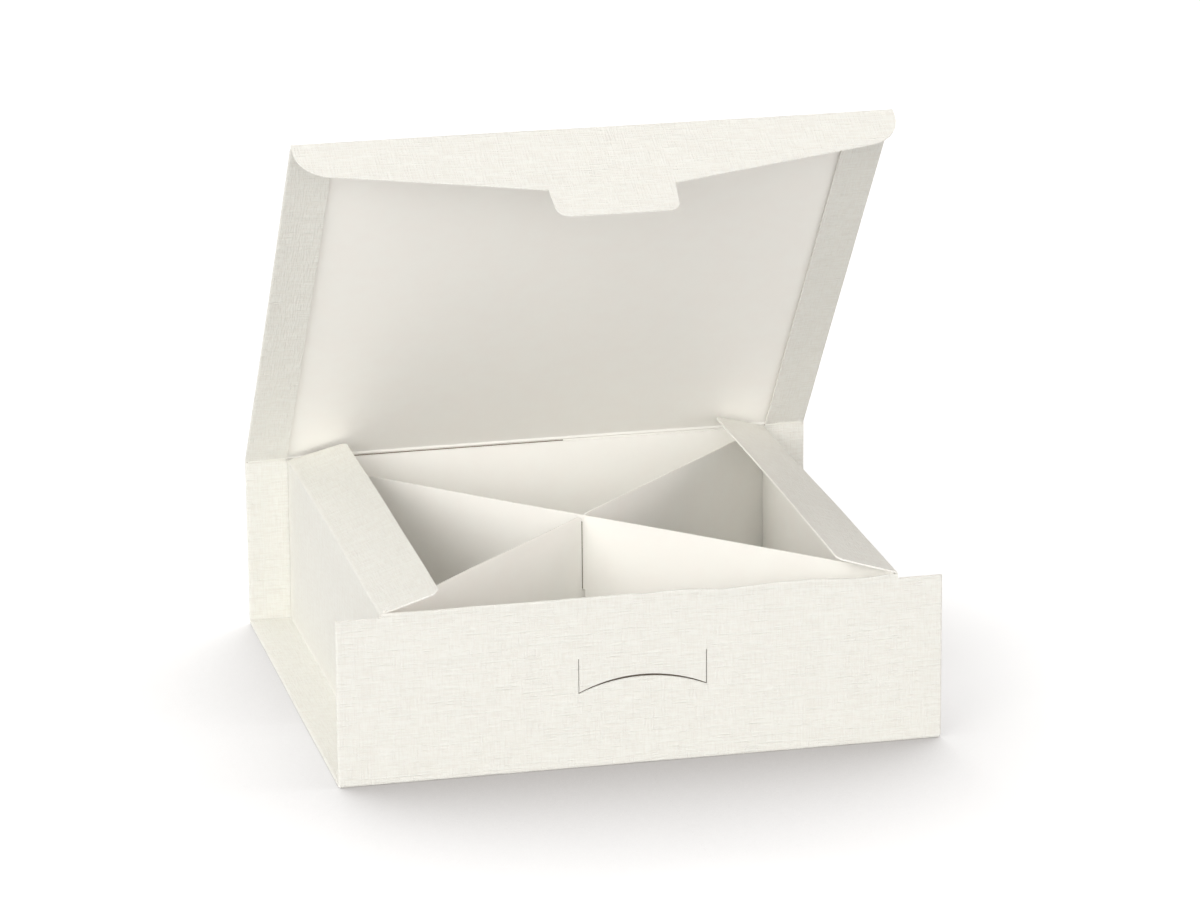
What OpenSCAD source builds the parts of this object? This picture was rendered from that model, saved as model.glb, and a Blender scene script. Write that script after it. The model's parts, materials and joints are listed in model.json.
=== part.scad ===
// Divided gift box of embossed card: a tray with recessed sides, a hinged lid and a cross divider
// Millimetres, +X to the right, +Y to the back, +Z up, origin at the centre of the underside

/* [Box] */
// Width over the folded side hems
body_w = 180; // [140:5:240]
// Depth from the front wall to the back wall
body_d = 157.5; // [120:0.5:220]
// Height of the fold between the back wall and the lid
hinge_h = 53.6; // [42:0.2:80]
// How far the rolled front edge lies below that fold
front_drop = 2; // [1.5:0.1:4]
// How far the wings of the front wall lie below its rolled edge
wing_drop = 1.4; // [0.8:0.1:4]
// Width of the folded hems, which sets how deep the sides are recessed
hem_w = 13.2; // [9:0.2:20]

/* [Card] */
// Thickness of the embossed card
card = 0.5; // [0.35:0.05:0.6]
// Air between two plies folded flat on each other
ply_gap = 0.15; // [0.1:0.05:0.3]
// Inside radius of a square fold
fold_r = 0.3; // [0.2:0.05:0.5]

/* [Lid] */
// Angle that the lid stands open, from closed
lid_open = 51; // [25:1:120]
// How far the lid reaches past the front wall
lid_reach = 2; // [1.5:0.1:4]
// How far the closed lid falls from its fold to the front wall
lid_fall = 0.7; // [0.4:0.1:1]

/* [Tuck flap] */
// Angle between the lid and its tuck flap, 180 being flat
tuck_angle = 98.7; // [90:0.1:180]
// Depth at which the sloping edge would meet the side
tuck_side_d = 12.7; // [11:0.1:16]
// Depth of the tuck flap beside the tab
tuck_mid_d = 25.2; // [20:0.1:28]
// Radius of the tuck flap's outer corners
tuck_corner_r = 11; // [6:0.5:12]
// Length of the locking tab
tab_l = 11.2; // [8:0.1:14]
// How much narrower the tab is at each side of its tip
tab_taper = 0.8; // [0.4:0.1:3]
// Radius of the tab's corners
tab_corner_r = 3; // [1.5:0.5:5]
// Play of the tab in the slit, at each side
tab_play = 0.2; // [0.1:0.1:1]

/* [Slit] */
// Width between the upright cuts
slit_w = 38; // [28:0.5:48]
// Length of the upright cuts
slit_leg_l = 10.5; // [6:0.5:14]
// Rise of the arched cut between the feet of the upright cuts
slit_rise = 4.2; // [2:0.1:6]
// How far the arch lies below the closed tuck flap's shoulders
slit_drop = 0.7; // [0.2:0.1:2]
// Width of the cut
slit_cut = 0.35; // [0.25:0.05:0.6]

/* [Dust flaps] */
// Width of a dust flap from its fold
dust_w = 18.5; // [12:0.5:22]
// Slant of a dust flap's back end, in degrees from square
dust_back_slant = 18.5; // [18.5:0.5:30]
// Slant of a dust flap's front end, in degrees from square
dust_front_slant = 5; // [1:0.5:15]
// Radius of a dust flap's free corners
dust_corner_r = 3; // [1.5:0.5:4]
// Degrees that a dust flap rises for each degree of the lid
dust_follow = 0.366; // [0.25:0.002:0.368]

/* [Divider] */
// Thickness of the smooth divider card
divider_card = 0.45; // [0.3:0.05:0.6]
// Height of the crossing slots' ends
slot_h = 28.4; // [20:0.2:34]
// Play of the crossing card in its slot, on each side
slot_play = 0.4; // [0.2:0.05:0.8]
// Radius at the mouth of a crossing slot
slot_mouth_r = 2; // [1:0.5:3]
// Radius of the divider's back folds
divider_fold_r = 1; // [0.8:0.1:2]

/* [Hidden] */

$fn = 48;
arc_steps = 8;

// Length of flat card that a drawn fold shares with each of its panels
lap = 0.2;
// Air in a crease, between a folded edge and the part that turns beside it
crease = 0.1;
// Air between edges that slide past each other
running = 0.3;
// Air between the closed lid and the dust flaps under it
lid_air = 0.2;
// Tilt that the closed lid leaves a dust flap
dust_closed_tilt = 0.3;

half_w = body_w / 2;
half_d = body_d / 2;
roll_r = card + ply_gap / 2;
inner_ply = card + ply_gap;
two_ply = 2 * card + ply_gap;
hem_start = two_ply + ply_gap;
foot = fold_r + card;
sheet_x = half_w - roll_r;
side_x = half_w - hem_w;
tray_x = side_x - running;
front_top = hinge_h - front_drop;
wing_top = front_top - wing_drop;
fall_angle = atan(lid_fall / body_d);
lid_l = body_d + lid_reach;
lid_front_z = hinge_h - lid_l * tan(fall_angle);
side_fold_z = hinge_h - card - lid_air;
dust_tilt = dust_closed_tilt + dust_follow * lid_open;
tab_half_w = slit_w / 2 - tab_play;
slit_foot_z = lid_front_z - tuck_mid_d - slit_drop - slit_rise;
slit_r = (pow(slit_w / 2, 2) + pow(slit_rise, 2)) / (2 * slit_rise);

// The divider's hollow between the side walls, the front wall's inner ply and the back wall
divider_x = side_x - card - running;
divider_front_y = -half_d + two_ply + running;
divider_back_y = half_d - card - crease - divider_card / 2;
divider_foot_z = card + crease;
divider_top_z = side_fold_z - lid_fall - card - crease;
fold_half_angle = atan((divider_back_y - divider_front_y) / (2 * divider_x)) / 2;
fold_corner_x = divider_x + divider_fold_r / tan(fold_half_angle) - divider_fold_r - divider_card / 2;
strip_end = [-divider_x + divider_card, divider_front_y + divider_card];
back_corner = [fold_corner_x, divider_back_y];
diagonal = toward(strip_end, back_corner);
diagonal_angle = atan2(diagonal[1], diagonal[0]);
crossing_y = strip_end[1] - strip_end[0] * tan(diagonal_angle);

// Unit vector from one point to another
function toward(p, q) = (q - p) / norm(q - p);

// Arc that rounds the corner at p between the lines from a and to b
function rounded(a, p, b, r) =
    let (u = toward(p, a), v = toward(p, b), half = acos(u * v) / 2)
    let (centre = p + (u + v) / norm(u + v) * r / sin(half), start = p + u * r / tan(half) - centre)
    let (from = atan2(start[1], start[0]), turn = u[0] * v[1] - u[1] * v[0] > 0 ? -1 : 1)
    [for (i = [0:arc_steps])
        let (angle = from + turn * (180 - 2 * half) * i / arc_steps)
        centre + r * [cos(angle), sin(angle)]];

// Outline whose corners are rounded where their radius isn't 0
function rounded_outline(points, radii) =
    [for (i = [0:len(points) - 1])
        let (n = len(points), a = points[(i + n - 1) % n], b = points[(i + 1) % n])
        each radii[i] > 0 ? rounded(a, points[i], b, radii[i]) : [points[i]]];

// Line beside a line of points, to its left where the offset is positive
function beside(points, offset) =
    [for (i = [0:len(points) - 1])
        let (p = points[i], last = len(points) - 1)
        let (before = toward(points[max(i - 1, 0)], points[max(i, 1)]))
        let (after = toward(points[min(i, last - 1)], points[min(i + 1, last)]))
        let (along = (before + after) / norm(before + after))
        p + offset * [-along[1], along[0]]];

function reversed(points) = [for (i = [len(points) - 1:-1:0]) points[i]];

module both_sides() {
    children();
    mirror([1, 0, 0])
        children();
}

// Outlines drawn in Y and Z, given a length along X about the middle
module along_x(length) {
    translate([-length / 2, 0, 0])
        rotate([90, 0, 90])
            linear_extrude(length)
                children();
}

// Outlines drawn in X and Z, reaching from one Y to another
module along_y(from, to) {
    translate([0, to, 0])
        rotate([90, 0, 0])
            linear_extrude(to - from)
                children();
}

// Square fold about the origin, bulging to the side that x_sign names and downwards
module square_fold(x_sign) {
    intersection() {
        difference() {
            circle(r = foot);
            circle(r = fold_r);
        }
        translate([min(x_sign, 0) * foot, -foot])
            square(foot);
    }
    translate([min(-x_sign, 0) * lap, -foot])
        square([lap, card]);
    translate([x_sign * (foot - card / 2) - card / 2, 0])
        square([card, lap]);
}

// Flat fold about the origin, with its roll towards +X
module flat_fold() {
    intersection() {
        difference() {
            circle(r = roll_r);
            circle(r = ply_gap / 2);
        }
        translate([0, -roll_r])
            square([roll_r, 2 * roll_r]);
    }
    for (y = [-roll_r, ply_gap / 2]) {
        translate([-lap, y])
            square([lap, card]);
    }
}

// A panel lies in X and Y with its outer face at z = 0 and its inner side upwards
module panel(from, to, half_width) {
    translate([-half_width, from, 0])
        cube([2 * half_width, to - from, card]);
}

// Hem on both sides of a panel: a roll and the ply that it turns inwards
module hems(from, to, inner_x) {
    both_sides() {
        along_y(from, to) {
            translate([sheet_x, roll_r])
                flat_fold();
            translate([inner_x, inner_ply])
                square([sheet_x - inner_x, card]);
        }
    }
}

// The panel's Y runs up the wall from the table
module front_place() {
    translate([0, -half_d, 0])
        mirror([0, 1, 0])
            rotate([90, 0, 0])
                children();
}

module back_place() {
    translate([0, half_d, 0])
        rotate([90, 0, 0])
            children();
}

// The panel's Y runs along the lid from its fold
module lid_place() {
    translate([0, half_d, hinge_h])
        rotate([180 + fall_angle - lid_open, 0, 0])
            children();
}

// The panel's Y runs down the tuck flap from the lid's front edge
module tuck_place() {
    lid_place()
        translate([0, lid_l, 0])
            rotate([180 - tuck_angle, 0, 0])
                children();
}

// Two upright cuts and the arched cut between their feet
module slit() {
    for (side = [-1, 1]) {
        translate([side * slit_w / 2 - slit_cut / 2, slit_foot_z])
            square([slit_cut, slit_leg_l]);
    }
    intersection() {
        translate([0, slit_foot_z + slit_rise - slit_r])
            difference() {
                circle(r = slit_r + slit_cut / 2, $fn = 160);
                circle(r = slit_r - slit_cut / 2, $fn = 160);
            }
        translate([-slit_w / 2, slit_foot_z])
            square([slit_w, slit_rise + slit_cut]);
    }
}

// The outer ply carries the wings, and rolls over between them into the inner ply
module front_wall() {
    roll_z = front_top - roll_r;
    front_place() {
        linear_extrude(card)
            difference() {
                union() {
                    translate([-sheet_x, foot])
                        square([2 * sheet_x, wing_top - foot]);
                    translate([-tray_x, foot])
                        square([2 * tray_x, roll_z - foot]);
                }
                slit();
            }
        translate([0, 0, inner_ply])
            panel(card + crease, roll_z, tray_x);
        hems(hem_start, wing_top, side_x);
    }
    translate([0, -half_d + roll_r, roll_z])
        along_x(2 * tray_x)
            rotate(90)
                flat_fold();
}

module back_wall() {
    back_place() {
        panel(foot, hinge_h - card - crease, sheet_x);
        hems(hem_start, hinge_h - hem_start, side_x);
    }
}

// The base's hems turn up at their inner edges into the side walls
module base() {
    panel(-half_d + foot, half_d - foot, sheet_x);
    hems(-half_d + hem_start, half_d - hem_start, side_x + fold_r);
    translate([0, -half_d + foot, foot])
        along_x(2 * sheet_x)
            square_fold(-1);
    translate([0, half_d - foot, foot])
        along_x(2 * sheet_x)
            square_fold(1);
}

// Height of a side wall's top edge, which runs with the closed lid
function side_top(y) = side_fold_z - card - crease - (half_d - y) * tan(fall_angle);

module side_wall() {
    front_y = -half_d + hem_start;
    back_y = half_d - hem_start;
    bend_z = two_ply + fold_r;
    along_y(front_y, back_y)
        translate([side_x + fold_r, bend_z])
            square_fold(-1);
    translate([side_x - card / 2, 0, 0])
        along_x(card)
            polygon([[front_y, bend_z], [back_y, bend_z], [back_y, side_top(back_y)],
                     [front_y, side_top(front_y)]]);
}

module box_shell() {
    color("Linen") {
        base();
        front_wall();
        back_wall();
        both_sides()
            side_wall();
    }
}

module lid_panel() {
    color("White")
        lid_place() {
            panel(0, lid_l - card - crease, sheet_x);
            hems(hem_start, lid_l - hem_start, side_x + running);
        }
}

// The flap slopes from its rounded sides to the shoulders of the locking tab
module tuck_flap() {
    side_corner = [half_w, tuck_side_d];
    shoulder = [tab_half_w, tuck_mid_d];
    tip = [tab_half_w - tab_taper, tuck_mid_d + tab_l];
    mirrored = [[-tip[0], tip[1]], [-shoulder[0], shoulder[1]], [-half_w, tuck_side_d], [-half_w, 0]];
    color("OldLace")
        tuck_place()
            linear_extrude(card)
                polygon(rounded_outline(
                    concat([[half_w, 0], side_corner, shoulder, tip], mirrored),
                    [0, tuck_corner_r, 0, tab_corner_r, tab_corner_r, 0, tuck_corner_r, 0]));
}

// A dust flap's fold runs along the top of its side wall, parallel to the closed lid
module dust_flap() {
    back_end = -hem_start - running;
    front_end = -body_d + hem_start + running;
    outline = [[0, back_end], [0, front_end],
               [dust_w, front_end + dust_w * tan(dust_front_slant)],
               [dust_w, back_end - dust_w * tan(dust_back_slant)]];
    translate([-side_x, half_d, side_fold_z])
        rotate([fall_angle, 0, 0])
            rotate([0, -dust_tilt, 0])
                translate([0, 0, -card])
                    linear_extrude(card)
                        polygon(rounded_outline(outline, [0, 0, dust_corner_r, dust_corner_r]));
}

module dust_flap_left() {
    color("Ivory")
        dust_flap();
}

module dust_flap_right() {
    color("Ivory")
        mirror([1, 0, 0])
            dust_flap();
}

// Half of the divider strip seen from above: a diagonal, a back fold and half the back panel
module divider_strip() {
    back_middle = [0, divider_back_y];
    middle = [strip_end, each rounded(strip_end, back_corner, back_middle, divider_fold_r), back_middle];
    translate([0, 0, divider_foot_z])
        linear_extrude(divider_top_z - divider_foot_z)
            polygon(concat(beside(middle, divider_card / 2), reversed(beside(middle, -divider_card / 2))));
}

// Slot across a diagonal, in X along the card and Y up, with a rounded mouth towards +Y
module slot_outline(end, mouth) {
    half_slot = divider_card / 2 + slot_play;
    translate([-half_slot, end])
        square([2 * half_slot, mouth - end + crease]);
    for (side = [-1, 1]) {
        difference() {
            translate([side * (half_slot + slot_mouth_r / 2), mouth - slot_mouth_r / 2 + crease / 2])
                square([slot_mouth_r, slot_mouth_r + crease], center = true);
            translate([side * (half_slot + slot_mouth_r), mouth - slot_mouth_r])
                circle(r = slot_mouth_r);
        }
    }
}

// Turns an outline drawn along a diagonal and upwards into a cut through its card
module across_diagonal(angle) {
    translate([0, crossing_y, 0])
        rotate([90, 0, angle])
            linear_extrude(6 * divider_card, center = true)
                children();
}

// One folded strip: its two ends cross, the first slotted from above and the second from below
module divider_insert() {
    color("Snow") {
        difference() {
            divider_strip();
            across_diagonal(diagonal_angle)
                slot_outline(slot_h, divider_top_z);
        }
        difference() {
            mirror([1, 0, 0])
                divider_strip();
            across_diagonal(-diagonal_angle)
                mirror([0, 1])
                    slot_outline(-slot_h - slot_play, -divider_foot_z);
        }
    }
}

box_shell();
lid_panel();
tuck_flap();
dust_flap_left();
dust_flap_right();
divider_insert();
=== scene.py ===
import json
from math import atan2, cos, pi, radians, sin, sqrt, tan

import bmesh
import bpy
from mathutils import Matrix, Vector, noise


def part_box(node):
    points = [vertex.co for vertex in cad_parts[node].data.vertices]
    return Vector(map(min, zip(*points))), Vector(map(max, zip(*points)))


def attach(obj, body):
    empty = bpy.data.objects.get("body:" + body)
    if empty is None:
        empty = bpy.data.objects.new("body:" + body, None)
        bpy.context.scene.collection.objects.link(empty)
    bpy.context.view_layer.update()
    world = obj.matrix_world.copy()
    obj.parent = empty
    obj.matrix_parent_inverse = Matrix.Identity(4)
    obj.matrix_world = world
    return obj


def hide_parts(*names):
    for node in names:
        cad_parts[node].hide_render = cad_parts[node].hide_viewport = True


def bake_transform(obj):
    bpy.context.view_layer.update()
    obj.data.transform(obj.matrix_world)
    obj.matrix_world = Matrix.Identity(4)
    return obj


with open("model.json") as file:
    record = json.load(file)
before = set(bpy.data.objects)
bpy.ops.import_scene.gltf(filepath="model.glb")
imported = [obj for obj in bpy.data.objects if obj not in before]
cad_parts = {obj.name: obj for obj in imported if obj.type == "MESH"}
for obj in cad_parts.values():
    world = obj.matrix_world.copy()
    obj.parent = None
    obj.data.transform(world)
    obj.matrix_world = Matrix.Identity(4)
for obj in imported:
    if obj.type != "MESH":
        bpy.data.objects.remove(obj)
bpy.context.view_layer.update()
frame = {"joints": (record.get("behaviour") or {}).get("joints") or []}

# Divided gift box folded from one sheet of linen-embossed card, with a crossed divider of smooth card.
# Each sheet is cut flat, gets its map there so that the embossing follows the card, and is then folded.
# Sizes are in millimetres and degrees, and mm turns them into metres.

mm = 0.001
joints = {joint["name"]: joint for joint in frame["joints"]}
hinge = Vector(joints["lid_fold"]["pos_m"])
lidEdge = Vector(joints["tuck_fold"]["pos_m"])
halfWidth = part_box("box_shell")[1].x / mm
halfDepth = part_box("box_shell")[1].y / mm
hingeHeight = hinge.z / mm
print("frame loaded")

# What the sheets share, as the part has it
card = {
    "thickness": 0.5,
    "plyGap": 0.15,
    "squareRadius": 0.8,  # outside radius of a square fold
    "rollRadius": 0.575,  # outside radius of a hem folded flat on its panel
    "hemWidth": 13.2,
    "seam": 1.2,  # how far from a crease the part that turns takes over the card
    "warp": 0.16,  # how far a panel leaves its plane
    "warpLength": 46,
    "warpFoot": 6,  # height over which the warp sets in, so that the base stays flat
    "warpSeed": 1,
    "foldMargin": 0.3,  # a line this far outside each fold keeps the panels' shading flat
    "cornerSteps": 7,
    "sharpAngle": 40,  # edges that turn more than this are drawn sharp
}
thickness = card["thickness"]
sheetX = halfWidth - card["rollRadius"]
sideX = halfWidth - card["hemWidth"]
seam = card["seam"]
noise.seed_set(card["warpSeed"])  # without it the warp would be another one in each run


def colour(code):
    # An sRGB hex code as linear red, green, blue and alpha
    parts = [int(code[i:i + 2], 16) / 255 for i in (1, 3, 5)]
    return [p / 12.92 if p <= 0.04045 else ((p + 0.055) / 1.055) ** 2.4 for p in parts] + [1]


def addNode(tree, kind, settings=None, links=None):
    node = tree.nodes.new(kind)
    for key, value in (settings or {}).items():
        if isinstance(key, str) and hasattr(node, key):
            setattr(node, key, value)
        else:
            node.inputs[key].default_value = value
    for key, source in (links or {}).items():
        tree.links.new(source, node.inputs[key])
    return node


def newMaterial(name):
    material = bpy.data.materials.new(name)
    material.use_nodes = True
    material.node_tree.nodes.clear()
    return material, material.node_tree


# Uncoated folding card pressed between linen-engraved rollers: a matt white face with crossed threads,
# long and uneven along the sheet, short across it, with painted shade, a faint grey, in their hollows
linen = {
    "face": "#EFEFE9",
    "hollow": "#EAE8E1",
    "threadSpacing": 0.47,  # of the noise's cells, where the real threads repeat about every 0.6
    "threadLength": 6,
    "crossSpacing": 0.45,
    "crossLength": 5,
    "crossShare": 0.75,
    "slubSpacing": 0.6,
    "slubLength": 16,
    "slubShare": 0.22,
    "depth": 0.24,
    "roughness": 0.6,
}


def threadNoise(tree, place, length, spacing, along, detail=1.0):
    # Noise drawn out along one direction of the card's map
    scale = (1000 / length, 1000 / spacing, 1) if along == "x" else (1000 / spacing, 1000 / length, 1)
    moved = addNode(tree, "ShaderNodeMapping", {"Scale": scale}, {"Vector": place})
    return addNode(tree, "ShaderNodeTexNoise",
                   {"noise_dimensions": "2D", "Scale": 1.0, "Detail": detail, "Roughness": 0.55},
                   {"Vector": moved.outputs["Vector"]}).outputs["Fac"]


def makeLinenCard():
    material, tree = newMaterial("linenEmbossedCard")
    place = addNode(tree, "ShaderNodeUVMap", {"uv_map": "cardMap"}).outputs["UV"]
    threads = threadNoise(tree, place, linen["threadLength"], linen["threadSpacing"], "x", 2.0)
    crossed = threadNoise(tree, place, linen["crossLength"], linen["crossSpacing"], "y")
    slubs = threadNoise(tree, place, linen["slubLength"], linen["slubSpacing"], "x", 0.0)
    thick = addNode(tree, "ShaderNodeMapRange",
                    {"From Min": 0.6, "From Max": 0.7}, {"Value": slubs}).outputs["Result"]
    woven = addNode(tree, "ShaderNodeMath", {"operation": "MULTIPLY_ADD", 1: linen["crossShare"]},
                    {0: crossed, 2: threads})
    height = addNode(tree, "ShaderNodeMath", {"operation": "MULTIPLY_ADD", 1: linen["slubShare"]},
                     {0: thick, 2: woven.outputs[0]}).outputs[0]
    # Painted shade: the colour turns to the hollow grey where the threads lie low
    shade = addNode(tree, "ShaderNodeMapRange",
                    {"From Min": 0.65, "From Max": 1.1}, {"Value": height}).outputs["Result"]
    tone = addNode(tree, "ShaderNodeMix",
                   {"data_type": "RGBA", 6: colour(linen["hollow"]), 7: colour(linen["face"])}, {0: shade})
    bump = addNode(tree, "ShaderNodeBump",
                   {"Strength": 1.0, "Distance": linen["depth"] * mm}, {"Height": height})
    shader = addNode(tree, "ShaderNodeBsdfPrincipled",
                     {"Roughness": linen["roughness"], "IOR": 1.47, "Specular IOR Level": 0.35},
                     {"Base Color": tone.outputs[2], "Normal": bump.outputs["Normal"]})
    addNode(tree, "ShaderNodeOutputMaterial", None, {"Surface": shader.outputs["BSDF"]})
    return material


# Uncoated white card as it comes off the board machine: smooth and matt, with soft clouds of fibre
smooth = {
    # Its face is whiter than the linen face, partly the card's own and partly painted light standing in for
    # light bounced around inside the box
    "face": "#FDFCF7",
    "cloud": "#FCFAF5",
    "fibreSize": 0.4,
    "cloudSize": 9,
    "depth": 0.008,
    "roughness": 0.75,
}


def makeSmoothCard():
    material, tree = newMaterial("smoothWhiteCard")
    place = addNode(tree, "ShaderNodeUVMap", {"uv_map": "cardMap"}).outputs["UV"]
    clouds = addNode(tree, "ShaderNodeTexNoise",
                     {"noise_dimensions": "2D", "Scale": 1000 / smooth["cloudSize"], "Detail": 3.0},
                     {"Vector": place}).outputs["Fac"]
    fibres = addNode(tree, "ShaderNodeTexNoise",
                     {"noise_dimensions": "2D", "Scale": 1000 / smooth["fibreSize"], "Detail": 2.0},
                     {"Vector": place}).outputs["Fac"]
    shade = addNode(tree, "ShaderNodeMapRange", {"From Min": 0.35, "From Max": 0.65}, {"Value": clouds})
    tone = addNode(tree, "ShaderNodeMix",
                   {"data_type": "RGBA", 6: colour(smooth["cloud"]), 7: colour(smooth["face"])},
                   {0: shade.outputs["Result"]})
    bump = addNode(tree, "ShaderNodeBump",
                   {"Strength": 1.0, "Distance": smooth["depth"] * mm}, {"Height": fibres})
    shader = addNode(tree, "ShaderNodeBsdfPrincipled",
                     {"Roughness": smooth["roughness"], "IOR": 1.47, "Specular IOR Level": 0.25},
                     {"Base Color": tone.outputs[2], "Normal": bump.outputs["Normal"]})
    addNode(tree, "ShaderNodeOutputMaterial", None, {"Surface": shader.outputs["BSDF"]})
    return material


# The die-cut edge of the same card: torn fibre, a little whiter and rougher than its faces; the extra
# whiteness is partly painted highlight for the light that the thin edges catch
edge = {"face": "#FBFAF6", "shade": "#EFECE4", "fibreSize": 0.5, "roughness": 0.85}


def makeCutEdge():
    material, tree = newMaterial("dieCutCardEdge")
    place = addNode(tree, "ShaderNodeTexCoord").outputs["Object"]
    fibres = addNode(tree, "ShaderNodeTexNoise",
                     {"Scale": 1000 / edge["fibreSize"], "Detail": 1.0}, {"Vector": place}).outputs["Fac"]
    shade = addNode(tree, "ShaderNodeMapRange", {"From Min": 0.3, "From Max": 0.6}, {"Value": fibres})
    tone = addNode(tree, "ShaderNodeMix",
                   {"data_type": "RGBA", 6: colour(edge["shade"]), 7: colour(edge["face"])},
                   {0: shade.outputs["Result"]})
    shader = addNode(tree, "ShaderNodeBsdfPrincipled",
                     {"Roughness": edge["roughness"], "IOR": 1.47, "Specular IOR Level": 0.2},
                     {"Base Color": tone.outputs[2]})
    addNode(tree, "ShaderNodeOutputMaterial", None, {"Surface": shader.outputs["BSDF"]})
    return material


# Painted shade: the same card coloured a warm dark grey, standing in for the depth of a cut or a crease
# where hardly any light gets
paintedShade = {"face": "#8A7E70", "grain": "#7A6F63", "grainSize": 1.2, "roughness": 0.9}


def makePaintedShadeCard():
    material, tree = newMaterial("cardPaintedWithShade")
    place = addNode(tree, "ShaderNodeTexCoord").outputs["Object"]
    grain = addNode(tree, "ShaderNodeTexNoise",
                    {"Scale": 1000 / paintedShade["grainSize"], "Detail": 2.0}, {"Vector": place}).outputs["Fac"]
    tone = addNode(tree, "ShaderNodeMix",
                   {"data_type": "RGBA", 6: colour(paintedShade["grain"]), 7: colour(paintedShade["face"])}, {0: grain})
    shader = addNode(tree, "ShaderNodeBsdfPrincipled",
                     {"Roughness": paintedShade["roughness"], "IOR": 1.47, "Specular IOR Level": 0.0},
                     {"Base Color": tone.outputs[2]})
    addNode(tree, "ShaderNodeOutputMaterial", None, {"Surface": shader.outputs["BSDF"]})
    return material


linenCard = makeLinenCard()
smoothCard = makeSmoothCard()
cutEdge = makeCutEdge()
paintedShadeCard = makePaintedShadeCard()
print("materials made")


def foldLength(angle, radius, steps):
    # Length of flat card that a fold of that outside radius takes up
    return 2 * radius * steps * tan(radians(angle) / 2 / steps)


def foldLines(fold):
    # Where the card turns, counted from the middle of the sheet, nearest first
    pitch = foldLength(fold["angle"], fold["radius"], fold["steps"]) / fold["steps"]
    return [fold["side"] * (fold["start"] + pitch * (i + 0.5)) for i in range(fold["steps"])]


def bothSides(fold):
    return [dict(fold, side=side) for side in (-1, 1)]


def every(size, start, end):
    count = max(1, round((end - start) / size))
    return [start + (end - start) * i / count for i in range(count + 1)]


def roundCorner(bm, corner, radius):
    arms = [e.other_vert(corner).co - corner.co for e in corner.link_edges]
    reach = radius * mm / tan(arms[0].angle(arms[1]) / 2)
    bmesh.ops.bevel(bm, geom=[corner], offset=reach, offset_type="OFFSET", segments=card["cornerSteps"],
                    profile=0.5, affect="VERTICES", clamp_overlap=False, material=-1)


def cutSheet(outline, folds, cutsX, cutsY, embossedUp=False, trim=None, mapShift=0):
    # Cuts a flat sheet to its outline of x, y and corner radius, then folds it, outermost fold first
    bm = bmesh.new()
    corners = [bm.verts.new((x * mm, y * mm, 0)) for x, y, radius in outline]
    blank = bm.faces.new(corners)
    blank.normal_update()
    if (blank.normal.z > 0) != embossedUp:
        blank.normal_flip()
    for corner, (x, y, radius) in zip(corners, outline):
        if radius:
            roundCorner(bm, corner, radius)
    cuts = [(0, x) for x in cutsX] + [(1, y) for y in cutsY]
    for fold in folds:
        lines = foldLines(fold)
        margin = fold["side"] * card["foldMargin"]
        beside = [lines[0] - margin, lines[-1] + margin]
        cuts += [(fold["axis"], place) for place in lines + beside]
    for axis, place in sorted(set(cuts)):
        normal = Vector((1, 0, 0)) if axis == 0 else Vector((0, 1, 0))
        bmesh.ops.bisect_plane(bm, geom=bm.verts[:] + bm.edges[:] + bm.faces[:], dist=1e-7,
                               plane_co=normal * place * mm, plane_no=normal)
    if trim:
        trim(bm)
    layer = bm.loops.layers.uv.new("cardMap")
    for face in bm.faces:
        for loop in face.loops:
            loop[layer].uv = (loop.vert.co.x, loop.vert.co.y + mapShift * mm)
    flat = {vert: vert.co.copy() for vert in bm.verts}
    for fold in folds:
        foldCard(bm, flat, fold)
    return bm


def foldCard(bm, flat, fold):
    # Turns what lies beyond each line of the fold, upwards where the angle is positive
    axis, side, within = fold["axis"], fold["side"], fold.get("within")
    turn = side * radians(fold["turn"] if "turn" in fold else fold["angle"]) / fold["steps"]
    matrix = Matrix.Rotation(-turn, 3, "Y") if axis == 0 else Matrix.Rotation(turn, 3, "X")
    for line in reversed(foldLines(fold)):
        beyond = [v for v in bm.verts
                  if side * (flat[v][axis] - line * mm) > 1e-9 and (within is None or within(flat[v]))]
        centre = (line * mm, 0, 0) if axis == 0 else (0, line * mm, 0)
        bmesh.ops.rotate(bm, verts=beyond, cent=centre, matrix=matrix)


def warpSheet(bm):
    # No panel of folded card is quite flat. The same drift runs through all of them, so creases stay shut
    for vert in bm.verts:
        drift = noise.noise_vector(vert.co / (card["warpLength"] * mm)) * card["warp"] * mm
        drift.z *= min(1, max(0, vert.co.z / (card["warpFoot"] * mm)))
        vert.co += drift


def makeCard(name, bm, cardThickness, faces):
    # Gives the folded sheet its thickness, away from its outer face, and bakes it
    mesh = bpy.data.meshes.new(name)
    bm.to_mesh(mesh)
    bm.free()
    piece = bpy.data.objects.new(name, mesh)
    bpy.context.scene.collection.objects.link(piece)
    # A face set to 3 has the painted shade on its hidden side only, and one set to 4 on both
    for material in faces + [cutEdge, faces[0], paintedShadeCard]:
        mesh.materials.append(material)
    solid = piece.modifiers.new("cardThickness", "SOLIDIFY")
    solid.thickness = cardThickness * mm
    solid.offset = -1
    solid.material_offset = 1
    solid.material_offset_rim = 2
    scene = bpy.context.evaluated_depsgraph_get()
    baked = bpy.data.meshes.new_from_object(piece.evaluated_get(scene), preserve_all_data_layers=True,
                                            depsgraph=scene)
    piece.modifiers.clear()
    piece.data = baked
    bpy.data.meshes.remove(mesh)
    baked.name = name
    baked.shade_smooth()
    baked.set_sharp_from_angle(angle=radians(card["sharpAngle"]))
    return piece


squareArc = foldLength(90, card["squareRadius"], 4)
rollArc = foldLength(180, card["rollRadius"], 8)
wallStart = halfDepth - card["squareRadius"] + squareArc
hemRoll = {"axis": 0, "start": sheetX, "angle": 180, "radius": card["rollRadius"], "steps": 8}


def wallAt(height):
    # Where a height on the front or back wall lies in the flat sheet
    return wallStart + height - card["squareRadius"]


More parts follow.
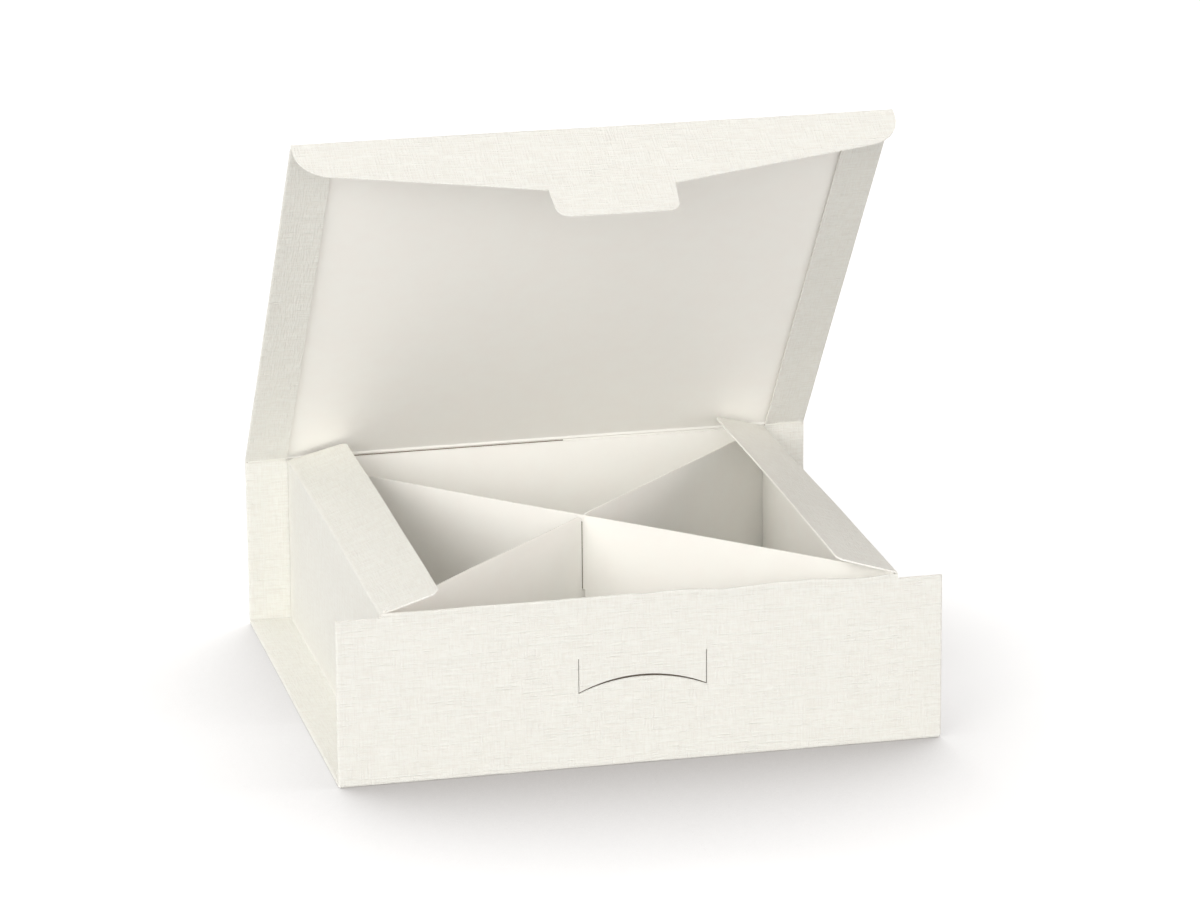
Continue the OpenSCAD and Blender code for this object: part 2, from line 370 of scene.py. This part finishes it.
# The tray: base, front wall with its rolled edge and inner ply, back wall, hems and side walls
tray = {
    "sideRadius": 0.3,  # of the folds between the hems and the side walls
    "sideDrop": (1.1, 0.5),  # how far the front ends of the left and right side walls have sunk
    "sideLimits": (77.2, 77.7),  # where the side walls end to the side and to the front
    "dropLength": 77,
    "dropCurve": 1.5,
    "dropHeight": 50,
    "frontTop": 51.6,
    "wingTop": 50.2,
    "rollHalf": 76.5,
    "innerFoot": 0.6,
    "hemStart": 0.9,
    "baseHemStart": 1.3,
    "sideTop": 52.9,  # height of the dust flaps' folds at the back
    "lidFall": 0.7,
    "slitHalf": 19,
    "slitFoot": 22.79,
    "slitLeg": 10.5,
    "slitRise": 4.2,
    "slitCut": 0.25,
    "slitArchCut": 0.3,
    "slitArchSwell": 0.3,  # how much wider the arched cut is at its middle
    "tongueSunk": 0.25,
    "slitShadeBeside": 1,  # how far the painted shade behind the slit reaches past it to the sides and upwards
    "slitShadeBelow": 1.5,
    "ripple": 1.1,  # unevenness of the rolled edge
    "rippleLength": 15,
    "rippleShare": 0.7,  # of the ripple at the middle, and the width over which another whole share is added
    "rippleGrowth": 120,
    "rippleFrom": 47,  # height at which the edge's unevenness sets in
    "rippleFade": 4,
    "lip": 0.2,  # how far the rolled edge swells out of the wall
    "lipLength": 9,
    "lipShare": 0.8,
    "innerBow": 0.9,  # how far the inner ply swells into the box
    "innerBowWidth": 140,
}


def sinkSides(bm):
    # The side walls and the dust flaps on them have sunk a little towards the front
    for vert in bm.verts:
        x, y, z = vert.co / mm
        if abs(x) < tray["sideLimits"][0] and -tray["sideLimits"][1] < y < 0:
            drop = tray["sideDrop"][x > 0] * (-y / tray["dropLength"]) ** tray["dropCurve"]
            vert.co.z -= drop * min(1, z / tray["dropHeight"]) * mm


def archAt(x):
    # Rise of the slit's arched cut above its feet
    half, rise = tray["slitHalf"], tray["slitRise"]
    radius = (half ** 2 + rise ** 2) / (2 * rise)
    return sqrt(radius ** 2 - x ** 2) - (radius - rise)


def cutSlit(bm):
    # Takes out the two upright cuts and the arched cut between their feet
    half, foot = tray["slitHalf"], tray["slitFoot"]
    low, high = foot - tray["slitArchCut"] / 2, foot + tray["slitArchCut"] / 2
    gone = []
    for face in bm.faces:
        centre = face.calc_center_median() / mm
        height = -centre.y - wallAt(0)
        inLeg = abs(abs(centre.x) - half) < tray["slitCut"] / 2 and low < height < foot + tray["slitLeg"]
        if inLeg or (abs(centre.x) < half and low < height < high):
            gone.append(face)
    bmesh.ops.delete(bm, geom=gone, context="FACES")
    innerStart = 2 * wallAt(tray["frontTop"] - card["rollRadius"]) + rollArc
    for face in bm.faces:
        # Behind the slit the inner ply gets painted shade, and all of the inner ply is tagged to be bowed
        # later
        centre = face.calc_center_median() / mm
        height = innerStart - wallAt(0) + centre.y
        face.tag = centre.y < -wallAt(tray["frontTop"] + 2)
        slitShadeTop = foot + tray["slitLeg"] + tray["slitShadeBeside"]
        behind = abs(centre.x) < half + tray["slitShadeBeside"] and foot - tray["slitShadeBelow"] < height < slitShadeTop
        if face.tag and behind:
            face.material_index = 3
    for vert in bm.verts:
        x, height = vert.co.x / mm, -vert.co.y / mm - wallAt(0)
        if abs(x) < half - 0.1 and low - 0.01 < height < high + 0.01:
            swell = tray["slitArchSwell"] * (1 - (x / half) ** 2) if height < foot else 0
            vert.co.y -= (archAt(x) - swell) * mm
        if abs(x) < half - 0.1 and foot < height < foot + tray["slitLeg"] - 0.1:
            vert.co.z += tray["tongueSunk"] * (1 - (height - foot) / tray["slitLeg"]) * mm


def rippleEdge(bm):
    # The rolled front edge was bent by hand, so it runs unevenly, more so to the right, and swells a little
    edgeLow, fade, edgeHalf = tray["rippleFrom"], tray["rippleFade"], tray["rollHalf"]
    for vert in bm.verts:
        across, up = vert.co.x / mm, vert.co.z / mm
        atFront = vert.co.y < -halfDepth * mm * 0.97
        if atFront and abs(across) < edgeHalf + 0.01 and up > edgeLow:
            near = min(1, max(0, (up - edgeLow) / fade)) * min(1, max(0, (edgeHalf - abs(across)) / fade))
            wave = noise.noise(Vector((across / tray["rippleLength"], 3.7, 0)))
            growth = tray["rippleShare"] + across / tray["rippleGrowth"]
            vert.co.z += near ** 2 * tray["ripple"] * growth * wave * mm
            unevenness = tray["lipShare"] + noise.noise(Vector((across / tray["lipLength"], 9.1, 0)))
            if vert.co.y < (card["rollRadius"] - halfDepth) * mm + 1e-7:
                vert.co.y -= near ** 3 * tray["lip"] * unevenness * mm


def bowInnerPly(bm):
    # The front wall's inner ply, which cutSlit has tagged, swells into the box
    for face in bm.faces:
        for vert in face.verts:
            vert.tag = vert.tag or face.tag
    for vert in bm.verts:
        if vert.tag:
            rise = max(0, sin(pi * vert.co.z / mm / tray["frontTop"]))
            fade = max(0, cos(pi * vert.co.x / mm / tray["innerBowWidth"])) ** 0.5
            vert.co.y += tray["innerBow"] * mm * rise * fade


def makeTray():
    hemEnd = sheetX + rollArc + sheetX - sideX
    sideRadius = tray["sideRadius"]
    sideFold = hemEnd - sideRadius
    sideStart = sideFold + foldLength(90, sideRadius, 4) - thickness * 2 - card["plyGap"] - sideRadius
    sideEnd = sideStart + tray["sideTop"] - seam
    rollStart = wallAt(tray["frontTop"] - card["rollRadius"])
    innerEnd = rollStart + rollArc + tray["frontTop"] - card["rollRadius"] - tray["innerFoot"]
    wing, backTop = wallAt(tray["wingTop"]), wallAt(hingeHeight - seam)
    hemFoot, baseHem = wallAt(tray["hemStart"]), halfDepth - tray["baseHemStart"]
    right = [
        (tray["rollHalf"], -innerEnd, 0), (tray["rollHalf"], -wing, 0), (hemEnd, -wing, 0),
        (hemEnd, -hemFoot, 0), (sheetX, -hemFoot, 0), (sheetX, -baseHem, 0),
        (sideEnd - tray["lidFall"], -baseHem, 0), (sideEnd, baseHem, 0), (sheetX, baseHem, 0),
        (sheetX, hemFoot, 0), (hemEnd, hemFoot, 0), (hemEnd, backTop, 0),
    ]
    outline = right + [(-x, y, radius) for x, y, radius in reversed(right)]
    folds = bothSides({"axis": 0, "start": sideFold, "angle": 90, "turn": -90, "radius": sideRadius,
                       "steps": 4, "within": lambda p: abs(p.y) < halfDepth * mm})
    folds += bothSides(hemRoll)
    folds.append({"axis": 1, "side": -1, "start": rollStart, "angle": 180,
                  "radius": card["rollRadius"], "steps": 8})
    folds += bothSides({"axis": 1, "start": halfDepth - card["squareRadius"], "angle": 90,
                        "radius": card["squareRadius"], "steps": 4})
    half, cut = tray["slitHalf"], tray["slitCut"] / 2
    foot, archCut = tray["slitFoot"], tray["slitArchCut"] / 2
    leg, beside = foot + tray["slitLeg"], tray["slitShadeBeside"]
    # Cuts every few millimetres let the sheet warp, and lie closer around the slit and the rolled edge
    cutsX = every(5, half + cut, sideX) + every(2, -half + cut, half - cut) + [sideX, tray["rollHalf"]]
    cutsX += [half + beside] + every(2.5, half + 3.5, tray["rollHalf"] - 1)
    cutsX += [-x for x in cutsX] + [half - cut, half + cut, -half + cut, -half - cut]
    cutsX += [s * x for s in (-1, 1) for x in every(6, sideFold + 1, sideEnd - 2)]
    outerRows = [6, 11, 16, 21.6, foot - archCut, foot + archCut, 28.4, leg, 38, 42, 46]
    outerRows += [47.5, 48.7, 49.4, 49.9, 50.4]
    innerRows = [50, 47, 42, 37, leg + beside, foot - tray["slitShadeBelow"], 15, 8]
    cutsY = [-wallAt(z) for z in outerRows] + [wallAt(z) for z in every(6, 6, 48)] + every(6, -70, 70)
    cutsY += [-(2 * rollStart + rollArc - wallAt(z)) for z in innerRows]
    bm = cutSheet(outline, folds, cutsX, cutsY, trim=cutSlit)
    rippleEdge(bm)
    bowInnerPly(bm)
    sinkSides(bm)
    warpSheet(bm)
    piece = makeCard("traySheet", bm, thickness, [linenCard, smoothCard])
    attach(piece, "box")
    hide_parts("box_shell")
    return piece


makeTray()
print("tray made")


# The lid with its hems, and the crease that joins it to the back wall
lid = {
    "hemInner": 77.1,
    "creaseRadius": 1.6,
    "creaseDashWidth": 4,  # how much of the hems' crease has painted shade at each end
    "creaseShadeFrom": -71.5,  # where the crease has painted shade on its hidden side, above the divider
    "creaseShadeTo": 11.5,
    "creaseShadeHeight": 0.32,
    "bead": 0.45,  # height of the crease's ridge
    "beadReach": 0.55,  # of the crease's length, to each side of the ridge
    "hemLift": 0.5,  # how far the hems' free edges have lifted
    "liftFrom": 2,
}
lidLength = (lidEdge - hinge).length / mm
lidUp = (lidEdge - hinge).normalized()
lidIn = Vector((1, 0, 0)).cross(lidUp)
lidPlace = Matrix.Translation(hinge) @ Matrix(((1, 0, 0), lidUp, lidIn)).transposed().to_4x4()


def makeLid():
    turn = 90 - atan2(lidUp.z, -lidUp.y) * 180 / pi
    reach = lid["creaseRadius"] * tan(radians(turn) / 2)
    arc = foldLength(turn, lid["creaseRadius"], 5)
    wallEnd = reach - arc - (seam - reach)
    hemEnd = sheetX + rollArc + sheetX - lid["hemInner"]
    far = lidLength - seam
    outline = [(hemEnd, wallEnd, 0), (hemEnd, far, 0), (-hemEnd, far, 0), (-hemEnd, wallEnd, 0)]
    folds = bothSides(hemRoll)
    folds.append({"axis": 1, "side": -1, "start": -reach, "angle": turn,
                  "radius": lid["creaseRadius"], "steps": 5})
    creaseDashEnd = sheetX + rollArc + lid["creaseDashWidth"]
    creaseDashTop, creaseDashFoot = foldLines(folds[-1])[3], foldLines(folds[-1])[4] - card["foldMargin"]
    creaseShadeTop = wallEnd + lid["creaseShadeHeight"]

    def shadeAndRaiseCrease(bm):
        # Painted shade: the crease is coloured dark at the hems' ends, and on its hidden side above the
        # divider
        for face in bm.faces:
            centre = face.calc_center_median() / mm
            atRoll = -creaseDashEnd < centre.x < -sheetX - rollArc
            if creaseDashFoot < centre.y < creaseDashTop and (atRoll or hemEnd - lid["creaseDashWidth"] < centre.x):
                face.material_index = 4
            elif lid["creaseShadeFrom"] < centre.x < lid["creaseShadeTo"] and centre.y < creaseShadeTop:
                face.material_index = 3
        for vert in bm.verts:
            x, y = abs(vert.co.x) / mm, vert.co.y / mm
            towards = 1 if x < sheetX + 1e-4 else -1 if x > sheetX + rollArc - 1e-4 else 0
            # The crease stands up as a ridge on the inside, and the hems' free edges have lifted a little
            ridge = max(0, 1 - abs(y - reach + arc / 2) / (lid["beadReach"] * arc))
            vert.co.z += towards * lid["bead"] * ridge * mm
            if towards < 0 and y > lid["liftFrom"]:
                inwards = (x - sheetX - rollArc) / (hemEnd - sheetX - rollArc)
                vert.co.z -= lid["hemLift"] * inwards ** 3 * mm

    cutsX = every(5, -sideX, sideX) + [lid["creaseShadeFrom"], lid["creaseShadeTo"]]
    cutsX += [s * x for s in (-1, 1) for x in (creaseDashEnd, hemEnd - lid["creaseDashWidth"])]
    cutsY = every(5, 2, far - 1) + [creaseShadeTop]
    bm = cutSheet(outline, folds, cutsX, cutsY, trim=shadeAndRaiseCrease, mapShift=wallAt(hingeHeight))
    bmesh.ops.transform(bm, matrix=lidPlace, verts=bm.verts)
    warpSheet(bm)
    piece = makeCard("lidSheet", bm, thickness, [linenCard, smoothCard])
    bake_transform(piece)
    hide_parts("lid_panel")
    return piece


makeLid()
print("lid made")


# The tuck flap with its locking tab, and the crease that joins it to the lid
tuck = {
    "sideDepth": 12.7,
    "sideRadius": 11,
    "shoulderHalf": 18.8,
    "shoulderDepth": 25.2,
    "tabLength": 11.2,
    "tabTaper": 0.8,
    "tabRadii": (4.2, 3),  # of its left and right corner
    "sideInset": 0.1,  # how much narrower the flap is at the crease
}


def makeTuckFlap():
    turn = joints["tuck_fold"]["range_deg"][1]
    reach = card["squareRadius"] * tan(radians(turn) / 2)
    arc = foldLength(turn, card["squareRadius"], 4)
    lidPart = reach - arc - (seam - reach)
    shoulder, tip = tuck["shoulderHalf"], tuck["shoulderHalf"] - tuck["tabTaper"]
    depth, end = tuck["shoulderDepth"], tuck["shoulderDepth"] + tuck["tabLength"]
    side = halfWidth - tuck["sideInset"]
    outline = [
        (side, lidPart, 0), (halfWidth, tuck["sideDepth"], tuck["sideRadius"]), (shoulder, depth, 0),
        (tip, end, tuck["tabRadii"][1]), (-tip, end, tuck["tabRadii"][0]), (-shoulder, depth, 0),
        (-halfWidth, tuck["sideDepth"], tuck["sideRadius"]), (-side, lidPart, 0),
    ]
    folds = [{"axis": 1, "side": -1, "start": -reach, "angle": turn,
              "radius": card["squareRadius"], "steps": 4}]
    cutsX = every(5, -85, 85)
    cutsY = every(4, 2.5, end - 5)
    bm = cutSheet(outline, folds, cutsX, cutsY, mapShift=wallAt(hingeHeight) + lidLength)
    turned = Matrix.Translation((0, lidLength * mm, 0)) @ Matrix.Rotation(radians(turn), 4, "X")
    bmesh.ops.transform(bm, matrix=lidPlace @ turned, verts=bm.verts)
    warpSheet(bm)
    piece = makeCard("tuckFlapSheet", bm, thickness, [linenCard, smoothCard])
    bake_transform(piece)
    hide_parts("tuck_flap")
    return piece


makeTuckFlap()
print("tuck flap made")


# The dust flaps over the side walls, each with its crease
dust = {
    "width": 18.5,
    "ends": (-1.6, -155.9),
    "backSlant": 18.5,
    "frontSlant": {"dustFlapLeft": 1.5, "dustFlapRight": 5},
    "cornerRadius": 3,
    "tilt": 18.97,  # of the open flap above level
    "fall": 0.2547,  # of its crease towards the front
    "sunk": {"dustFlapLeft": 2.0, "dustFlapRight": 3.0},  # degrees at the front end
    "sunkFrom": 60,  # where the twist sets in, behind the box's middle
    "curl": 0.5,  # height that the back tips have risen
    "curlLength": 25,
}


def makeDustFlap(name, node, inward):
    turn = 90 - dust["tilt"]
    reach = card["squareRadius"] * tan(radians(turn) / 2)
    arc = foldLength(turn, card["squareRadius"], 4)
    wallEnd = reach - arc - (seam - reach)
    width, (back, front) = dust["width"], dust["ends"]
    backSlant = width * tan(radians(dust["backSlant"]))
    frontSlant = width * tan(radians(dust["frontSlant"][name]))
    outline = [
        (inward * wallEnd, back, 0), (inward * wallEnd, front, 0), (0, front, 0),
        (inward * width, front + frontSlant, dust["cornerRadius"]),
        (inward * width, back - backSlant, dust["cornerRadius"]), (0, back, 0),
    ]
    folds = [{"axis": 0, "side": -inward, "start": -reach, "angle": turn, "turn": -turn,
              "radius": card["squareRadius"], "steps": 4}]
    cutsX = [inward * x for x in every(4, 2, width - 3.5)]
    cutsY = every(5, front + 5, back - 8.5)
    bm = cutSheet(outline, folds, cutsX, cutsY, embossedUp=True, mapShift=400)
    sunk, sunkFrom, curlLength = dust["sunk"][name], dust["sunkFrom"], dust["curlLength"]
    for vert in bm.verts:
        along, beyond = vert.co.y / mm, inward * vert.co.x / mm - reach
        if beyond > 0:
            share = min(1, max(0, (along + sunkFrom) / (front + sunkFrom)))
            vert.co.z -= tan(radians(sunk)) * share * beyond * mm
            nearBack = max(0, (along - back + curlLength) / curlLength)
            vert.co.z += dust["curl"] * (beyond / width) ** 2 * nearBack ** 2 * mm
    joint = joints[node.replace("dust_flap", "dust_fold")]
    place = Matrix.Translation(joint["pos_m"]) @ Matrix.Rotation(radians(dust["fall"]), 4, "X")
    tilted = place @ Matrix.Rotation(radians(-inward * dust["tilt"]), 4, "Y")
    bmesh.ops.transform(bm, matrix=tilted, verts=bm.verts)
    sinkSides(bm)
    warpSheet(bm)
    piece = makeCard(name, bm, thickness, [linenCard, smoothCard])
    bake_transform(piece)
    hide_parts(node)
    return piece


makeDustFlap("dustFlapLeft", "dust_flap_left", 1)
makeDustFlap("dustFlapRight", "dust_flap_right", -1)
print("dust flaps made")


# The divider: one strip whose middle stands along the back wall and whose ends cross, slotted together
divider = {
    "thickness": 0.45,
    "halfWidth": 76.35,
    "back": 78.15,  # its outer face
    "foot": 0.6,
    "tops": (52.3, 52.0, 52.1),  # at the back, at the crossing and at the front ends
    "foldRadius": 0.7,
    "slope": 45.458,
    "endX": 75.39,
    "slotHeight": 28.4,
    "slotPlay": 0.4,
    "mouthRadius": 2,
    "crossingShade": (0.1, 0.55),  # where the card in the slot has painted shade, from the crossing's middle
}


def makeDivider():
    turn = 180 - divider["slope"]
    radius = divider["foldRadius"]
    foldStart = divider["halfWidth"] - radius
    arcEnd = foldStart + foldLength(turn, radius, 8)
    leaveX = foldStart + radius * sin(radians(divider["slope"]))
    crossing = arcEnd + leaveX / cos(radians(divider["slope"]))
    end = arcEnd + (leaveX + divider["endX"]) / cos(radians(divider["slope"]))
    back, middle, front = divider["tops"]
    half, foot, slot = divider["thickness"] / 2 + divider["slotPlay"], divider["foot"], divider["slotHeight"]
    mouth = divider["mouthRadius"]
    outline = [
        (-end, foot, 0), (-crossing - half, foot, mouth), (-crossing - half, slot + divider["slotPlay"], 0),
        (-crossing + half, slot + divider["slotPlay"], 0), (-crossing + half, foot, mouth), (end, foot, 0),
        (end, front, 0), (crossing + half, middle, mouth), (crossing + half, slot, 0),
        (crossing - half, slot, 0), (crossing - half, middle, mouth), (arcEnd, back, 0),
        (-arcEnd, back, 0), (-crossing, middle, 0), (-end, front, 0),
    ]
    folds = bothSides({"axis": 0, "start": foldStart, "angle": turn, "radius": radius, "steps": 8})
    cutsX = every(6, -foldStart + 1, foldStart - 1)
    between = every(6, arcEnd + 1, crossing - 4) + every(6, crossing + 4, end - 2)
    cutsX += [s * x for s in (-1, 1) for x in between]
    near, far = -crossing + divider["crossingShade"][0], -crossing + divider["crossingShade"][1]
    cutsX += [near, far]

    def paintCrossingShade(bm):
        # Painted shade: the card that passes through the other's slot is coloured dark beside the slot's
        # edge
        for face in bm.faces:
            centre = face.calc_center_median() / mm
            if near < centre.x < far and slot < centre.y < middle - mouth:
                face.material_index = 4

    cutsY = every(6, foot + 4, front - 4) + [slot + divider["slotPlay"], middle - mouth]
    bm = cutSheet(outline, folds, cutsX, cutsY, trim=paintCrossingShade, mapShift=800)
    stand = Matrix.Translation((0, divider["back"] * mm, 0)) @ Matrix.Rotation(radians(90), 4, "X")
    bmesh.ops.transform(bm, matrix=stand, verts=bm.verts)
    warpSheet(bm)
    piece = makeCard("dividerStrip", bm, divider["thickness"], [smoothCard, smoothCard])
    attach(piece, "box")
    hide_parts("divider_insert")
    return piece


makeDivider()
print("divider made")


# A plain white floor that keeps the lamps' shadows and has a painted shadow around the box, a white
# surround, and soft lamps
studio = {
    "floorHalf": 12000,
    "floorColour": "#B4B4B4",  # as the camera sees it
    "floorBounce": "#D9D9D9",  # as it lights the box, like a floor that is mostly in shade
    "floorGlow": 0.72,
    # The floor's shadow near the box is painted: the camera sees the floor turn to shadowTone where the box
    # hides its tilted open side within shadowReach
    "shadowTone": "#8C8580",
    "shadowDepth": 1.0,
    "shadowReach": 110,
    "shadowSamples": 16,
    "shadowFrom": (0.12, 0.8, 0.55),  # towards the side that the box shades the floor from
    "surround": 0.27,
    # name: strength, colour, direction towards the lamp, softness in degrees
    "lamps": {
        "frontKey": (0.7, "#FFFFFF", (-0.17, -0.96, 0.21), 35),
        "frontLeft": (1.35, "#FFFDFA", (-0.64, -0.64, 0.42), 35),
        "frontRight": (0.5, "#FFFBF8", (0.57, -0.81, 0.17), 35),
        "leftFill": (0.45, "#FFFDFA", (-0.85, -0.1, 0.52), 45),
        "rightFill": (0.8, "#FFF3EE", (0.97, 0.0, 0.26), 45),
        "top": (0.65, "#FFFBF8", (-0.2, 0.25, 0.95), 60),
        "backTop": (0.35, "#FFFBF8", (-0.33, 0.58, 0.74), 45),
    },
}


def seenDirectly(tree):
    # Is 1 for the rays that show a thing itself and 0 for those that only gather its light
    path = addNode(tree, "ShaderNodeLightPath")
    seen = addNode(tree, "ShaderNodeMath", {"operation": "MAXIMUM"},
                   {0: path.outputs["Is Camera Ray"], 1: path.outputs["Is Glossy Ray"]})
    return addNode(tree, "ShaderNodeMath", {"operation": "MAXIMUM"},
                   {0: seen.outputs[0], 1: path.outputs["Is Transmission Ray"]}).outputs[0]


def makeFloor():
    bm = bmesh.new()
    bmesh.ops.create_grid(bm, x_segments=2, y_segments=2, size=studio["floorHalf"] * mm)
    mesh = bpy.data.meshes.new("studioFloor")
    bm.to_mesh(mesh)
    bm.free()
    floor = bpy.data.objects.new("studioFloor", mesh)
    bpy.context.scene.collection.objects.link(floor)
    material, tree = newMaterial("whiteStudioPaper")
    seen = seenDirectly(tree)
    glow = addNode(tree, "ShaderNodeMath", {"operation": "MULTIPLY", 1: studio["floorGlow"]}, {0: seen})
    # Painted shadow: where the box is near, the floor as the camera sees it is mixed towards a dark emission
    side = addNode(tree, "ShaderNodeCombineXYZ", dict(enumerate(Vector(studio["shadowFrom"]).normalized())))
    near = addNode(tree, "ShaderNodeAmbientOcclusion",
                   {"samples": studio["shadowSamples"], "Distance": studio["shadowReach"] * mm},
                   {"Normal": side.outputs[0]})
    shade = addNode(tree, "ShaderNodeMapRange",
                    {"From Min": 1.0, "From Max": 0.0, "To Max": studio["shadowDepth"]},
                    {"Value": near.outputs["AO"]})
    dark = addNode(tree, "ShaderNodeEmission", {"Color": colour(studio["shadowTone"])})
    paper = addNode(tree, "ShaderNodeBsdfDiffuse", {"Color": colour(studio["floorColour"])})
    light = addNode(tree, "ShaderNodeEmission", {"Color": (1, 1, 1, 1)}, {"Strength": glow.outputs[0]})
    both = addNode(tree, "ShaderNodeAddShader", None, {0: paper.outputs[0], 1: light.outputs[0]})
    bounce = addNode(tree, "ShaderNodeBsdfDiffuse", {"Color": colour(studio["floorBounce"])})
    shaded = addNode(tree, "ShaderNodeMixShader", None,
                     {0: shade.outputs["Result"], 1: both.outputs[0], 2: dark.outputs[0]})
    shown = addNode(tree, "ShaderNodeMixShader", None,
                    {0: seen, 1: bounce.outputs[0], 2: shaded.outputs[0]})
    addNode(tree, "ShaderNodeOutputMaterial", None, {"Surface": shown.outputs[0]})
    mesh.materials.append(material)


def makeSurround():
    world = bpy.data.worlds.new("studioSurround")
    bpy.context.scene.world = world
    world.use_nodes = True
    tree = world.node_tree
    tree.nodes.clear()
    strength = addNode(tree, "ShaderNodeMapRange", {"To Min": studio["surround"], "To Max": 1.0},
                       {"Value": seenDirectly(tree)})
    white = addNode(tree, "ShaderNodeBackground", {"Color": (1, 1, 1, 1)},
                    {"Strength": strength.outputs["Result"]})
    addNode(tree, "ShaderNodeOutputWorld", None, {"Surface": white.outputs[0]})


def makeLamp(name, strength, tint, towards, softness):
    lamp = bpy.data.lights.new(name, "SUN")
    lamp.energy = strength
    lamp.color = colour(tint)[:3]
    lamp.angle = radians(softness)
    holder = bpy.data.objects.new(name, lamp)
    holder.rotation_euler = Vector(towards).to_track_quat("Z", "Y").to_euler()
    bpy.context.scene.collection.objects.link(holder)


makeFloor()
makeSurround()
for lampName, settings in studio["lamps"].items():
    makeLamp(lampName, *settings)
print("floor and light made")


# The camera of the product photo, in front of the box and a little to its left
view = {
    "place": (-339.53, -1519.52, 529.44),
    "lens": 161.88,
    "sensor": 36,
    "turn": (-0.22338, 0.285535, -0.008547),  # to the side, downwards and tilted, in radians
}


def makeCamera():
    data = bpy.data.cameras.new("photoCamera")
    data.sensor_width = view["sensor"]
    data.lens = view["lens"]
    data.clip_start = 0.1
    data.clip_end = 50
    yaw, pitch, roll = view["turn"]
    toImage = (Matrix.Rotation(roll, 3, "Z") @ Matrix.Rotation(pitch, 3, "X") @ Matrix.Rotation(yaw, 3, "Y")
               @ Matrix(((1, 0, 0), (0, 0, -1), (0, 1, 0))))
    camera = bpy.data.objects.new("photoCamera", data)
    turned = toImage.transposed() @ Matrix.Diagonal((1, -1, -1))
    camera.matrix_world = Matrix.Translation(Vector(view["place"]) * mm) @ turned.to_4x4()
    bpy.context.scene.collection.objects.link(camera)
    bpy.context.scene.camera = camera


makeCamera()
bpy.context.scene.view_settings.view_transform = "Standard"
print("camera made")
